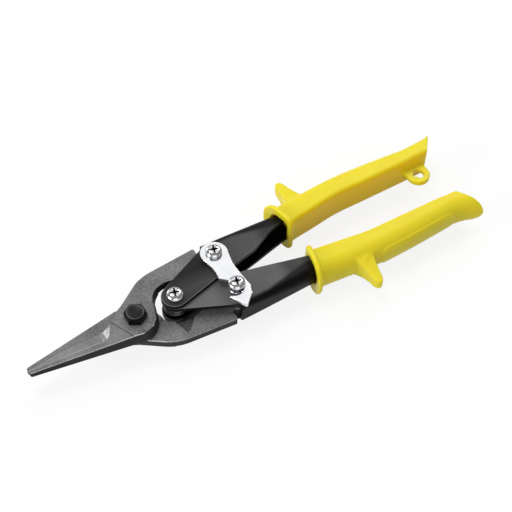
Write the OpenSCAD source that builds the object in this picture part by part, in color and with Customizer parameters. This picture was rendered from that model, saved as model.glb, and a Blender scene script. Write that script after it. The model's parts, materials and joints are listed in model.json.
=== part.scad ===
// Aviation snips with straight jaws. Two forged blades turn on one bolt and are worked by two pressed
// handles, so that each handle, its tang and the two blades form a compound linkage. A coil spring opens
// the handles, a swinging latch holds them shut, and vinyl grips are pushed over the handle ends.
// While modelling, the jaw bolt is the origin, +X runs to the grips, +Y to the upper handle, and z = 0 is
// the plane in which the blades shear. The jaws are shut and the latch is on.

/* [Linkage] */
// Jaw bolt to the screw that joins the handles
handle_pivot_x = 21.7; // [20.8:0.1:22.8]
// Jaw bolt to the tang screws, along the tool
tang_pivot_x = 50; // [48:0.5:52]
// Tang screws off the centre line
tang_pivot_y = 11.3; // [10.8:0.1:12]

/* [Blades] */
// Jaw bolt to the tip of the jaws
jaw_length = 57; // [48:1:66]
// Thickness of the forging round the bolt
blade_t = 5.1; // [4.6:0.1:5.6]
// Thickness of the jaw at its tip
tip_t = 2.4; // [1.6:0.1:3]
// Height of the cutting edge above the centre line
edge_y = 2.7; // [2.4:0.1:3.4]
// Flat left on the cutting edge under its bevel
edge_land = 0.7; // [0.4:0.1:1.2]
// Slope of the bevel behind the cutting edge
edge_angle = 25; // [18:1:32]
// Radius of the grinding wheel's run-out at the end of the bevel
run_out_r = 8; // [5:0.5:12]
// Depth of the jaw back below the centre line, at the bolt
back_y = 11.3; // [11:0.1:12]
// Depth of the jaw back below the centre line, at the tip
tip_back_y = 2.9; // [2.2:0.1:3.4]
// Lean of the jaw back
back_angle = 20; // [15:1:28]
// Step between the boss round the bolt and the top of the jaw
boss_step = 0.45; // [0.2:0.05:0.8]
// Relief of the tang behind the sliding faces
tang_relief = 0.6; // [0.3:0.1:1]
// Fall of the facet between that relief and the throat
facet_fall = 6; // [3:0.5:8]
// Step between the boss and the outer face of the tang
tang_step = 0.2; // [0.1:0.05:0.4]
// Direction from the handle screw in which the throat wall leaves its round for the boss
wall_turn = 163; // [158:1:168]
// Radius of the throat round the handle screw, at the outer face
throat_r = 11.2; // [10.8:0.1:11.8]
// Draft of the throat wall, as growth of its radius through the blade
throat_draft = 1.4; // [0.8:0.1:2.2]
// Radius of the tang end round its screw
tang_end_r = 6.9; // [6.4:0.1:7]
// Height of the tang shoulder above its screw
shoulder_rise = 11.3; // [10.4:0.1:11.6]
// Free travel between tang shoulder and handle web
stop_gap = 2.8; // [2.6:0.1:3.4]
// Gap between the shearing faces
shear_gap = 0.1; // [0.06:0.02:0.2]

/* [Handles] */
// Thickness of the pressed sheet
sheet_t = 2; // [1.8:0.1:2.2]
// Play between a tang and the handle flange beside it
side_play = 0.15; // [0.1:0.05:0.3]
// Play between the nested handle flanges
slip = 0.1; // [0.06:0.02:0.2]
// Radius of the flange ends round the handle screw
arm_r = 6.9; // [6.2:0.1:7.2]
// Outer face of the web above its tang screw
web_rise = 10.2; // [9.6:0.1:10.4]
// Spread of the handle from the centre line
splay = 0.2; // [0:0.1:1]
// Front end of the web ahead of its tang screw
web_lead = 2.8; // [2.2:0.1:3.2]
// Outer bend radius of the channel
bend_r = 2.6; // [2.4:0.1:3.2]
// Start of the grip, from the jaw bolt
grip_start_x = 92; // [88:1:100]
// Length of handle inside the grip
tail_length = 64; // [50:1:66]

/* [Grips] */
// Wall of the vinyl sleeve
grip_wall = 1.6; // [1.2:0.1:2]
// Length of the sleeve up to its flared end
sleeve_length = 84; // [78:1:88]
// Play of the sleeve on the handle
sleeve_play = 0.12; // [0.05:0.01:0.2]
// Height of the rim at the front of the sleeve
rim_height = 2.7; // [1.2:0.1:2.8]
// Thickness of that rim
rim_t = 2.6; // [2:0.1:3.4]
// Tip of the upper thumb stop behind the front of its grip
upper_thumb_x = 11.6; // [11:0.5:20]
// Tip of the lower thumb stop behind the front of its grip
lower_thumb_x = 24.1; // [14:0.5:28]
// Height of the thumb stops over the sleeve
thumb_rise = 14.4; // [10:0.2:16]
// Half thickness of the thumb stop at its tip
thumb_t = 2.6; // [1.8:0.1:3.4]
// Length of the solid end beyond the handle
end_length = 5.6; // [4.6:0.2:8]
// Spread of the slanted end
end_flare = 2.4; // [1.6:0.1:3.6]
// Radius of the hanging ring
ring_r = 6.2; // [5.4:0.1:7]
// Radius of the hole in it
ring_hole_r = 3.1; // [2.5:0.1:3.8]
// Thickness of the ring
ring_t = 3; // [2:0.2:4]

/* [Fasteners] */
// Diameter of the jaw bolt
bolt_d = 6; // [5:0.5:7]
// Width over the flats of the bolt head and its nut
bolt_flats = 10; // [9:0.5:11]
// Chamfer round the top of the bolt head
bolt_chamfer = 0.8; // [0.3:0.1:1.2]
// Height of the bolt head
bolt_head_h = 4; // [3.4:0.2:5]
// Diameter of the handle and tang screws
screw_d = 5; // [4.4:0.2:5.2]
// Diameter of their pan heads
pan_d = 8.7; // [8:0.1:9.4]
// Height of their pan heads
pan_h = 3; // [2.4:0.1:3.4]
// Width over the flats of their nuts
nut_flats = 8; // [7:0.5:9]
// Height of their nuts
nut_h = 4; // [3:0.2:4.6]
// Screw end showing under a nut
end_show = 0.5; // [0.2:0.1:1]
// Running play of a pin in its bore, on the radius
pin_play = 0.05; // [0.03:0.01:0.08]
// Play of the handle screw in the lower handle, on the radius
loop_play = 0.45; // [0.4:0.05:0.6]
// Radius of the bushes beside the tangs
bush_r = 3.5; // [3.2:0.1:3.7]

/* [Latch] */
// Thickness of the latch
latch_t = 2.2; // [1.8:0.1:2.6]
// Thickness of the washer under it
washer_t = 0.7; // [0.5:0.1:1]
// Radius of the round latch end
latch_r = 7; // [6.4:0.1:7.4]
// Radius of the neck that the hook catches
neck_r = 2.2; // [1.9:0.1:2.3]

/* [Spring] */
// Thickness of the spring wire
wire_d = 1.4; // [1.2:0.1:1.5]
// Mean radius of the coil
coil_r = 5.2; // [4.6:0.1:5.6]
// Free height above and below the coil
coil_clear = 0.3; // [0.2:0.05:0.4]
// Slope of the spring legs
leg_angle = 22; // [20:1:24]

/* [Hidden] */
$fn = 64;
blade_top = shear_gap / 2 + blade_t;
flange_in = blade_top + side_play;
flange_out = flange_in + sheet_t;
nest_out = flange_in - slip;
nest_in = nest_out - sheet_t;
channel_z = (flange_out - nest_out) / 2;
half_h = (flange_out + nest_out) / 2;
web_y = tang_pivot_y + web_rise;
web_front_x = tang_pivot_x - web_lead;
shoulder_x = web_front_x - stop_gap;
tail_x = grip_start_x + tail_length;
sleeve_x = grip_start_x + sleeve_length;
flare_x = sleeve_x + end_length;
latch_z = flange_out + slip + washer_t + slip;
latch_top = latch_z + latch_t;
head_z = latch_top + slip;
pin_r = screw_d / 2;
coil_turns = 2 + (180 - 2 * leg_angle) / 360;
coil_pitch = (2 * nest_in - 2 * coil_clear - wire_d) / coil_turns;
post_drop = 2 * tang_pivot_y;
end_lean = 0.75;
rim_lean = -0.2;

// Outlines

function unit(v) = v / norm(v);
function at(c, r, a) = [c.x + r * cos(a), c.y + r * sin(a)];

// Arc that rounds corner c between its neighbours p and q, no longer than either side allows
function corner(p, c, q, r, steps) =
  let (
    u = unit(p - c),
    v = unit(q - c),
    half = acos(u * v) / 2,
    reach = min(r / tan(half), 0.48 * norm(p - c), 0.48 * norm(q - c)),
    rr = reach * tan(half),
    mid = c + unit(u + v) * rr / sin(half),
    s = c + u * reach - mid,
    e = c + v * reach - mid,
    a = atan2(s.y, s.x),
    sweep = (atan2(e.y, e.x) - a + 540) % 360 - 180
  )
  [for (i = [0:steps]) at(mid, rr, a + sweep * i / steps)];

// Outline through corners given as [x, y, radius]
function rounded(k, steps = 8) =
  let (n = len(k))
  [for (i = [0:n - 1])
    let (p = k[(i + n - 1) % n], c = k[i], q = k[(i + 1) % n])
    each c[2] == 0 ? [[c.x, c.y]] : corner([p.x, p.y], [c.x, c.y], [q.x, q.y], c[2], steps)];

// Solid through a row of rings with the same number of points
module loft(rings) {
  n = len(rings[0]);
  m = len(rings);
  polyhedron(
    points = [for (r = rings) each r],
    faces = [
      [for (i = [n - 1:-1:0]) i],
      [for (i = [0:n - 1]) (m - 1) * n + i],
      for (j = [0:m - 2], i = [0:n - 1])
        each [
          [j * n + i, j * n + (i + 1) % n, (j + 1) * n + i],
          [j * n + (i + 1) % n, (j + 1) * n + (i + 1) % n, (j + 1) * n + i]
        ]
    ]);
}

// Blades

tang_pivot = [tang_pivot_x, tang_pivot_y];
handle_pivot = [handle_pivot_x, 0];
pivot_span = norm(tang_pivot - handle_pivot);
tang_line = atan2(tang_pivot_y, tang_pivot_x - handle_pivot_x) - asin((throat_r + tang_end_r) / pivot_span);

// Throat radius at the shearing plane and just over the outer face
throat_in = throat_r - throat_draft;
throat_out = throat_r + 0.04 * throat_draft;

// Foot of the wall between throat and boss, and the round of the boss that it runs into
wall_start = at(handle_pivot, throat_in, wall_turn);
boss_at = [-0.5, -0.6];
boss_r = (boss_at - wall_start) * [cos(wall_turn), sin(wall_turn)];

// Corner points of the forging seen from above, as [x, y, radius]
function blade_corners() = [
  [-jaw_length, -tip_back_y, 1.4],
  [-6, -back_y, 6],
  concat(at(boss_at, boss_r - 2.5, -80), 0),
  concat(at(boss_at, boss_r - 2.5, wall_turn - 183), 0),
  concat(at(boss_at, boss_r + 1, wall_turn - 180), 0),
  concat(at(handle_pivot, throat_in - 3, wall_turn), 0),
  concat(at(handle_pivot, throat_r, tang_line + 90), 0),
  for (i = [0:12]) concat(at(tang_pivot, tang_end_r, tang_line - 90 + i * (218 - tang_line) / 12), 0),
  [shoulder_x - 0.4, tang_pivot_y + tang_end_r - 0.4, 0.6],
  [shoulder_x, tang_pivot_y + shoulder_rise, 1.2],
  [11.8, tang_pivot_y + 8.8, 24],
  [-12.8, edge_y - 0.3, 4.5],
  [-0.7 * jaw_length, edge_y, 40],
  [-jaw_length, -0.2, 0.9]
];

module blade() {
  back_slope = atan2(back_y - tip_back_y, jaw_length - 6);
  jaw_fall = atan2(blade_t - boss_step - tip_t, jaw_length - 14);
  difference() {
    union() {
      difference() {
        translate([0, 0, shear_gap / 2])
          linear_extrude(blade_t) polygon(rounded(blade_corners()));
        // wall between boss and throat, leaning as they do
        translate([handle_pivot_x, 0, 0])
          rotate([0, 0, wall_turn]) rotate([90, 0, 0]) translate([0, 0, -30])
            linear_extrude(30)
              polygon([[1, 0], [throat_in - 0.06, 0], [throat_out - 0.06, 1.04 * blade_top], [1, 1.04 * blade_top]]);
      }
      translate(concat(boss_at, shear_gap / 2))
        cylinder(r1 = boss_r + 0.15, r2 = boss_r + 0.15 - throat_draft, h = blade_t);
    }
    translate([handle_pivot_x, 0, 0])
      cylinder(r1 = throat_in, r2 = throat_out, h = 1.04 * blade_top);
    translate([0, 0, -1])
      cylinder(r = bolt_d / 2 + pin_play, h = blade_t + 2);
    translate([tang_pivot_x, tang_pivot_y, -1])
      cylinder(r = pin_r + pin_play, h = blade_t + 2);
    // top of the jaw, falling from the boss to the tip
    translate([-8.5, -3.5, blade_top - boss_step])
      rotate([0, 0, 24.8]) rotate([0, -jaw_fall, 0])
        translate([-100, -40, 0]) cube([100, 80, 20]);
    // leaning back of the jaw
    translate([-6, -back_y, 0.8])
      rotate([0, 0, -back_slope]) rotate([-back_angle, 0, 0])
        translate([-100, -20, 0]) cube([200, 20, 20]);
    // bevel behind the cutting edge, with the round run-out of the grinding wheel
    translate([-19.5, edge_y, blade_top - blade_t + edge_land])
      rotate([-edge_angle, 0, 0]) {
        translate([-100, -20, 0]) cube([100, 40, 20]);
        translate([0, 20, run_out_r]) rotate([90, 0, 0]) cylinder(r = run_out_r, h = 40);
      }
    // relief of the tang behind the sliding faces
    rotate([0, 0, 57]) translate([9.6, 60, shear_gap / 2])
      rotate([90, 0, 0]) linear_extrude(120)
        polygon([[0, -1], [60, -1], [60, tang_relief], [1.8 * tang_relief, tang_relief], [0, 0]]);
    // facet on which the relief falls into the throat
    translate([19.4, tang_pivot_y + 7, shear_gap / 2 + tang_relief])
      rotate([0, 0, -76]) rotate([0, -facet_fall, 0])
        translate([0, 0, -9]) linear_extrude(9) polygon([[0, 0], [13, -7.2], [13, 7.2]]);
    // step from the boss down to the tang
    rotate([0, 0, 36]) translate([20, -60, blade_top - tang_step])
      cube([60, 120, 9]);
  }
}

// Handles

// Lines seen from above: outer face of the web, and free edge of both flanges
function web_at(x) = web_y + (x - tang_pivot_x) * tan(splay);
knee_x = tang_pivot_x + 24;
edge_line = [
  [web_front_x, tang_pivot_y - 11.7],
  [knee_x - 2, tang_pivot_y - 6],
  [knee_x + 8, tang_pivot_y - 3.4],
  [grip_start_x + 1, tang_pivot_y - 0.8],
  [grip_start_x + 33, tang_pivot_y + 3.4],
  [sleeve_x, tang_pivot_y + 3.8]
];

// Open channel section and the closed outline round it, for a row of
// [x, free edge y, web y, half height, bend radius]
function bend(c, r, a, b, n = 6) = [for (i = [0:n]) at(c, r, a + (b - a) * i / n)];
function outer_path(r) = [
  [r[1], r[3]],
  each bend([r[2] - r[4], r[3] - r[4]], r[4], 90, 0),
  each bend([r[2] - r[4], r[4] - r[3]], r[4], 0, -90),
  [r[1], -r[3]]
];
function inner_path(r, t) = [
  [r[1], t - r[3]],
  each bend([r[2] - r[4], r[4] - r[3]], r[4] - t, -90, 0),
  each bend([r[2] - r[4], r[3] - r[4]], r[4] - t, 0, 90),
  [r[1], r[3] - t]
];

// Straight channel with wide flanges, or the solid that fills it, along the web and beyond both its ends
module channel(grow, filled) {
  row = [0, -60, grow, half_h + grow, bend_r + grow];
  translate([tang_pivot_x, web_y, channel_z])
    rotate([0, 0, splay])
      translate([-60, 0, 0])
        rotate([90, 0, 90])
          linear_extrude(tail_x - tang_pivot_x + 80)
            polygon(filled ? outer_path(row) : concat(outer_path(row), inner_path(row, sheet_t)));
}

// Direction from c to the point where the line from p touches the circle, left (1) or right (-1)
function touch(c, r, p, side) = atan2(p.y - c.y, p.x - c.x) + side * acos(r / norm(p - c));

// Free edge of the flanges up to the end of the tail
function free_edge(x, grow) = [
  for (q = edge_line) if (q.x < x - 1) q - [0, grow],
  [x, lookup(x, edge_line) - grow]
];

// The pressed blank seen from above: round arm ends, free edges, tail, and the cut front of the web
module blank() {
  low = edge_line[0];
  high = [web_front_x, web_at(web_front_x) - sheet_t - 0.2];
  from = touch(handle_pivot, arm_r, high, 1);
  to = touch(handle_pivot, arm_r, low, -1) + 360;
  polygon(concat(
    [for (i = [0:24]) at(handle_pivot, arm_r, from + (to - from) * i / 24)],
    free_edge(tail_x, 0),
    [[tail_x, 60], [web_front_x, 60], high]));
}

module handle(pivot_hole_r) {
  difference() {
    intersection() {
      channel(0, false);
      translate([0, 0, -20]) linear_extrude(40) blank();
    }
    translate([handle_pivot_x, 0, -20]) cylinder(r = pivot_hole_r, h = 40);
    translate([tang_pivot_x, tang_pivot_y, -20]) cylinder(r = pin_r + pin_play, h = 40);
  }
}

// Grips

// Outer line of the sleeve without its wall, bowed out in the middle
swell_x = grip_start_x + 38;
back_line = [
  [grip_start_x, web_y + 1.3],
  [swell_x, web_y + 3.9],
  [sleeve_x, web_y + 2.3]
];

// Outside of the sleeve at dx behind its front, fatter than the handle by the wall and by fat and tall
function sleeve_row(dx, fat, tall, r) =
  let (x = grip_start_x + dx)
  [x, lookup(x, edge_line) - grip_wall, lookup(x, back_line) + grip_wall + fat, half_h + grip_wall + tall, r];
sleeve_rows = [
  sleeve_row(1, 0.2, 1.2, 7.6),
  sleeve_row(16, 0.4, 1.4, 7.6),
  sleeve_row(33, 0.3, 1.4, 7.4),
  sleeve_row(50, 0.1, 1.2, 7.2),
  sleeve_row(67, 0, 1.1, 7),
  sleeve_row(80, 0, 1.1, 7)
];

// Slope of column c at row i, and the smooth value between rows
function slope(rows, i, c) =
  let (a = max(0, i - 1), b = min(len(rows) - 1, i + 1))
  (rows[b][c] - rows[a][c]) / (rows[b].x - rows[a].x);
function between(rows, i, x, c) =
  let (
    w = rows[i + 1].x - rows[i].x,
    t = (x - rows[i].x) / w,
    d = rows[i + 1][c] - rows[i][c],
    s0 = slope(rows, i, c) * w,
    s1 = slope(rows, i + 1, c) * w
  )
  rows[i][c] + t * (s0 + t * (3 * d - 2 * s0 - s1 + t * (s0 + s1 - 2 * d)));
function fine_rows(rows, n) = [
  for (i = [0:len(rows) - 2], j = [0:n - 1])
    let (x = rows[i].x + (rows[i + 1].x - rows[i].x) * j / n)
    [x, for (c = [1:4]) between(rows, i, x, c)],
  rows[len(rows) - 1]
];
function grown(r, g) = [r[0], r[1] - g, r[2] + g, r[3] + g, r[4] + g];
function ring_at(x, row, lean = 0) =
  [for (q = outer_path(row)) [x + lean * (q.x - row[1]), q.x, channel_z + q.y]];

// Rows of the slanted end: start of the flare, the end face and its rounded edge
end_rows =
  let (last = sleeve_rows[5])
  [
    [flare_x - 3, last[1] + 0.5, last[2] + end_flare * 0.25, last[3] + 0.2, last[4]],
    [flare_x, last[1] + 0.4, last[2] + end_flare, last[3] + 0.3, last[4]],
    [flare_x + 1.2 + end_lean * 1.4, last[1] + 1.8, last[2] + end_flare - 1, last[3] - 1, last[4] - 1]
  ];

module grip_sleeve() {
  rim = grown(sleeve_rows[0], rim_height) + [0, 0.9, 0, 0, 0];
  loft([
    ring_at(grip_start_x, grown(rim, -0.8), rim_lean),
    ring_at(grip_start_x + 0.7, rim, rim_lean),
    ring_at(grip_start_x + rim_t - 0.5, rim, rim_lean),
    ring_at(grip_start_x + rim_t, grown(rim, -0.6), rim_lean),
    ring_at(grip_start_x + rim_t + 0.4, sleeve_rows[0], rim_lean),
    for (r = fine_rows(sleeve_rows, 3)) if (r[0] > grip_start_x + rim_t + 1) ring_at(r[0], r),
    ring_at(end_rows[0][0], end_rows[0], end_lean * 0.6),
    ring_at(end_rows[1][0], end_rows[1], end_lean),
    ring_at(end_rows[2][0], end_rows[2], end_lean)
  ]);
}

module thumb_stop(dx) {
  x = grip_start_x + dx;
  outer_y = lookup(x, back_line) + grip_wall;
  base_y = outer_y - 1.4;
  tip_y = outer_y + thumb_rise;
  intersection() {
    translate([0, 0, -10])
      linear_extrude(30)
        polygon(rounded([
          [x - 5.2, base_y, 0],
          [x - 3.4, base_y + 7, 10],
          [x - 1.8, tip_y, 1.4],
          [x + 1.8, tip_y - 0.8, 1.6],
          [x + 5.4, base_y + 5, 9],
          [x + 11, base_y, 0]
        ]));
    translate([x - 10, 0, channel_z])
      rotate([90, 0, 90])
        linear_extrude(40)
          polygon([
            [base_y - 1, 6.2],
            [base_y - 1, -6.2],
            [tip_y + 1, -thumb_t],
            [tip_y + 1, thumb_t]
          ]);
  }
}

ring_at_x = grip_start_x + 81.7;
ring_at_y = sleeve_rows[4][1] - 5.1;

module hang_ring() {
  translate([0, 0, channel_z - ring_t / 2])
    linear_extrude(ring_t) {
      translate([ring_at_x, ring_at_y]) circle(r = ring_r);
      translate([ring_at_x - ring_r, ring_at_y]) square([2 * ring_r, 6]);
    }
}

module grip(thumb_x, ring) {
  difference() {
    union() {
      grip_sleeve();
      thumb_stop(thumb_x);
      if (ring) hang_ring();
    }
    intersection() {
      channel(sleeve_play, true);
      translate([0, 0, -20])
        linear_extrude(40)
          polygon(concat(
            [[grip_start_x - 10, lookup(grip_start_x - 10, edge_line) - sleeve_play]],
            [for (q = free_edge(tail_x, sleeve_play)) if (q.x > grip_start_x) q],
            [[tail_x + sleeve_play, lookup(tail_x, edge_line) - sleeve_play]],
            [[tail_x + sleeve_play, 60], [grip_start_x - 10, 60]]));
    }
    if (ring)
      translate([ring_at_x, ring_at_y, -20]) cylinder(r = ring_hole_r, h = 40);
  }
}

// Fasteners

module hex_bar(flats, h, chamfer) {
  intersection() {
    rotate([0, 0, 30]) cylinder(d = flats / cos(30), h = h, $fn = 6);
    rotate_extrude()
      polygon([
        [0, 0],
        [flats / 2 - 0.2, 0],
        [flats * 0.6, flats * 0.045],
        [flats * 0.6, h - (0.1 * flats + chamfer) * 0.58],
        [flats / 2 - chamfer, h],
        [0, h]
      ]);
  }
}

module nut(flats, h, hole_r) {
  difference() {
    hex_bar(flats, h, 0.3);
    translate([0, 0, -1]) cylinder(r = hole_r, h = h + 2);
  }
}

module pan_head() {
  difference() {
    rotate_extrude()
      polygon([
        [0, 0],
        [pan_d / 2, 0],
        each [for (a = [0:15:90]) [pan_d / 2 - 2.2 + 2.2 * cos(a), pan_h * 0.4 + pan_h * 0.6 * sin(a)]],
        [0, pan_h]
      ]);
    for (a = [0, 90])
      rotate([0, 0, a + 20]) translate([-pan_d * 0.29, -0.55, pan_h - 1.7])
        cube([pan_d * 0.58, 1.1, 3]);
  }
}

module screw(x, y, under_head, tail) {
  translate([x, y, under_head]) pan_head();
  translate([x, y, tail]) cylinder(r = pin_r, h = under_head - tail + 0.5);
}

module screw_nut(x, y, top) {
  translate([x, y, top - nut_h]) nut(nut_flats, nut_h, pin_r + 0.02);
}

module bush(x, y, low, high, r) {
  translate([x, y, low])
    difference() {
      cylinder(r = r, h = high - low);
      translate([0, 0, -1]) cylinder(r = pin_r + pin_play, h = high - low + 2);
    }
}

// Spring

coil_start = leg_angle + 90;
coil_low = coil_clear + wire_d / 2 - nest_in;
leg_length = (web_y - sheet_t - wire_d / 2 - 0.2 - coil_r * sin(coil_start)) / sin(leg_angle);
coil_steps = ceil(coil_turns * 20);
coil_path = [for (i = [0:coil_steps])
  concat(at(handle_pivot, coil_r, coil_start + 360 * coil_turns * i / coil_steps),
    coil_low + coil_pitch * coil_turns * i / coil_steps)];
function leg_end(p, side, l) = p + l * [cos(leg_angle), side * sin(leg_angle), 0];
wire_path = concat(
  [leg_end(coil_path[0], 1, leg_length), leg_end(coil_path[0], 1, leg_length - wire_d)],
  [leg_end(coil_path[0], 1, 2)],
  coil_path,
  [leg_end(coil_path[coil_steps], -1, 2), leg_end(coil_path[coil_steps], -1, leg_length - wire_d)],
  [leg_end(coil_path[coil_steps], -1, leg_length)]);
wire_gap = min([for (i = [0:coil_steps - 8], j = [i + 8:coil_steps]) norm(coil_path[j] - coil_path[i])]) - wire_d;
echo("least gap of the spring wire to itself", wire_gap);

function wire_ring(i) =
  let (
    n = len(wire_path),
    t = unit(wire_path[min(i + 1, n - 1)] - wire_path[max(i - 1, 0)]),
    side = unit(cross(t, [0, 0, 1])),
    up = cross(side, t)
  )
  [for (k = [0:7]) wire_path[i] + wire_d / 2 * (cos(45 * k) * side + sin(45 * k) * up)];

// Named pieces

// Middle of the tool and its lowest point, for a box that stands on the origin
tool_end = end_rows[2][0] + end_lean * (end_rows[2][2] - end_rows[2][1]);
middle_x = (tool_end - jaw_length) / 2;
rest_z = sleeve_rows[0][3] + rim_height + channel_z;

module seat() {
  translate([-middle_x, 0, rest_z]) children();
}

module upper_blade() {
  color("gray") seat() blade();
}

module lower_blade() {
  color("darkgray") seat() rotate([180, 0, 0]) blade();
}

module jaw_bolt() {
  color("dimgray")
    seat() {
      translate([0, 0, blade_top + 0.05]) hex_bar(bolt_flats, bolt_head_h, bolt_chamfer);
      translate([0, 0, -blade_top - bolt_flats / 2 - end_show])
        cylinder(r = bolt_d / 2, h = 2 * blade_top + bolt_flats / 2 + end_show + 0.5);
    }
}

module jaw_nut() {
  color("silver")
    seat()
      translate([0, 0, -blade_top - 0.05 - bolt_flats / 2])
        nut(bolt_flats, bolt_flats / 2, bolt_d / 2 + 0.02);
}

module upper_handle() {
  color("black") seat() handle(pin_r + pin_play);
}

module lower_handle() {
  color("black") seat() rotate([180, 0, 0]) handle(pin_r + loop_play);
}

module upper_grip() {
  color("gold") seat() grip(upper_thumb_x, true);
}

module lower_grip() {
  color("gold") seat() rotate([180, 0, 0]) grip(lower_thumb_x, false);
}

module handle_screw() {
  color("white") seat() screw(handle_pivot_x, 0, flange_out + 0.02, -flange_out - nut_h - end_show);
}

module handle_nut() {
  color("silver") seat() screw_nut(handle_pivot_x, 0, -flange_out - slip);
}

module spring_bush() {
  color("silver") seat() bush(handle_pivot_x, 0, 0.04 - nest_in, nest_in - 0.04, pin_r + 0.75);
}

module torsion_spring() {
  color("black") seat() loft([for (i = [0:len(wire_path) - 1]) wire_ring(i)]);
}

module upper_tang_screw() {
  color("white") seat() screw(tang_pivot_x, tang_pivot_y, head_z, -nest_out - nut_h - end_show);
}

module upper_tang_nut() {
  color("silver") seat() screw_nut(tang_pivot_x, tang_pivot_y, -nest_out - 0.02);
}

module upper_tang_bush() {
  color("silver") seat() bush(tang_pivot_x, tang_pivot_y, 0.02 - nest_in, 0, bush_r);
}

module lower_tang_screw() {
  color("white")
    seat() {
      translate([tang_pivot_x, -tang_pivot_y, head_z]) pan_head();
      translate([tang_pivot_x, -tang_pivot_y, latch_z - slip - 0.5])
        cylinder(r = neck_r, h = head_z - latch_z + slip + 1);
      translate([tang_pivot_x, -tang_pivot_y, nest_out + 0.02])
        cylinder(r = pin_r + 1.4, h = latch_z - slip - nest_out - 0.02);
      translate([tang_pivot_x, -tang_pivot_y, -flange_out - nut_h - end_show])
        cylinder(r = pin_r, h = flange_out + nest_out + nut_h + end_show + 0.5);
    }
}

module lower_tang_nut() {
  color("silver") seat() screw_nut(tang_pivot_x, -tang_pivot_y, -flange_out - 0.02);
}

module lower_tang_bush() {
  color("silver") seat() bush(tang_pivot_x, -tang_pivot_y, 0, nest_in - 0.02, bush_r);
}

// Outline of the latch about its pivot, and the notch cut for the post
latch_corners = [
  [-latch_r + 0.1, 0, 0],
  [-5.2, -9, 14],
  [-5.9, -16, 0.6],
  [-7.2, -4.4 - post_drop, 0],
  [-1.7, -post_drop - 13.2, 1],
  [4.2, -post_drop - 8, 3],
  [5.8, -post_drop - 3.4, 6],
  [4.8, -12, 14],
  [latch_r - 0.1, 0, 0]
];
notch_corners = [
  [-12, 8 - post_drop, 0],
  [-5.4, 7.2 - post_drop, 0.6],
  [-2.4, 4.2 - post_drop, 2],
  [1.6, 3.2 - post_drop, 2.6],
  [3, -0.6 - post_drop, 3],
  [1.2, -5.8 - post_drop, 2.6],
  [-2.6, -6 - post_drop, 1.6],
  [-5.6, -4.7 - post_drop, 1],
  [-12, -4.7 - post_drop, 0]
];

module latch() {
  color("white")
    seat()
      translate([tang_pivot_x, tang_pivot_y, latch_z])
        difference() {
          linear_extrude(latch_t)
            difference() {
              union() {
                circle(r = latch_r);
                polygon(rounded(latch_corners));
              }
              polygon(rounded(notch_corners));
            }
          translate([0, 0, -1]) cylinder(r = pin_r + pin_play, h = latch_t + 2);
        }
}

module latch_washer() {
  color("silver")
    seat() bush(tang_pivot_x, tang_pivot_y, flange_out + slip, flange_out + slip + washer_t, pin_r + 2.6);
}

upper_blade();
lower_blade();
jaw_bolt();
jaw_nut();
upper_handle();
lower_handle();
upper_grip();
lower_grip();
handle_screw();
handle_nut();
spring_bush();
torsion_spring();
upper_tang_screw();
upper_tang_nut();
upper_tang_bush();
lower_tang_screw();
lower_tang_nut();
lower_tang_bush();
latch();
latch_washer();
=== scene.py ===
import json
import math

import bmesh
import bpy
from mathutils import Matrix, Vector

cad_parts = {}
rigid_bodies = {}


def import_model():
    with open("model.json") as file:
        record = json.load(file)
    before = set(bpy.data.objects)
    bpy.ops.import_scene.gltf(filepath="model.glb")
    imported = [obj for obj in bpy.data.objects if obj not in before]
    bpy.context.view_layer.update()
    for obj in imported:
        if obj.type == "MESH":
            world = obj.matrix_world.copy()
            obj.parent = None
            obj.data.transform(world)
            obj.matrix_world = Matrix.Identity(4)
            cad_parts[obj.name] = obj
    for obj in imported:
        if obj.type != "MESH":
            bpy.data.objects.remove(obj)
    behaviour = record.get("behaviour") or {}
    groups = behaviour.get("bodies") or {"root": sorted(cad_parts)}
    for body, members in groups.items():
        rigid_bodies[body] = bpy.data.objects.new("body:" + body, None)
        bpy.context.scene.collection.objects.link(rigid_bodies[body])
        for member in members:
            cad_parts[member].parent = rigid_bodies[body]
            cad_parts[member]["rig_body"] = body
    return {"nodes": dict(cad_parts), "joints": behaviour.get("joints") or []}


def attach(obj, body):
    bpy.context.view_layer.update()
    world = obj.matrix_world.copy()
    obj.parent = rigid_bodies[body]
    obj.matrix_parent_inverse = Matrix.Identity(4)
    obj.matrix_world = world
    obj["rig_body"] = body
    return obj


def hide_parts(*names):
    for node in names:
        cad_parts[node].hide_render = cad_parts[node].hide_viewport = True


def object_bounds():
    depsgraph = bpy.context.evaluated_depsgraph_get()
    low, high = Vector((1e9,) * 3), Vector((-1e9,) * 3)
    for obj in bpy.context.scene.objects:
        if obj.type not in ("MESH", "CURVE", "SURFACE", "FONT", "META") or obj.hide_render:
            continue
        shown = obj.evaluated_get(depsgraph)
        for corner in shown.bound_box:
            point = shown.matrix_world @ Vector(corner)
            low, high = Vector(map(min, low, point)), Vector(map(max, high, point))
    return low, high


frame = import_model()
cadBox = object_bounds()
nodes = frame["nodes"]
pivots = {joint["name"]: Vector(joint["pos_m"]) for joint in frame["joints"]}
boltAt = pivots["jaw_open"]  # on the jaw bolt, in the plane where the blades shear
print("frame loaded:", len(nodes), "CAD nodes")


def place(x, y, z, side=1):  # millimetres from the jaw bolt; side -1 turns the tool over about its length
    return boltAt + Vector((x, side * y, side * z)) * 0.001


def between(table, x):  # straight lines through (x, value) pairs
    for (x0, v0), (x1, v1) in zip(table, table[1:]):
        if x <= x1:
            return v0 + (v1 - v0) * (x - x0) / (x1 - x0)
    return table[-1][1]


# pivots of the linkage, in millimetres from the jaw bolt; the lower tang's is the mirror image of the upper one's
handleScrewAt, tangScrewAt = (21.7, 0), (50, 11.3)


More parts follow.
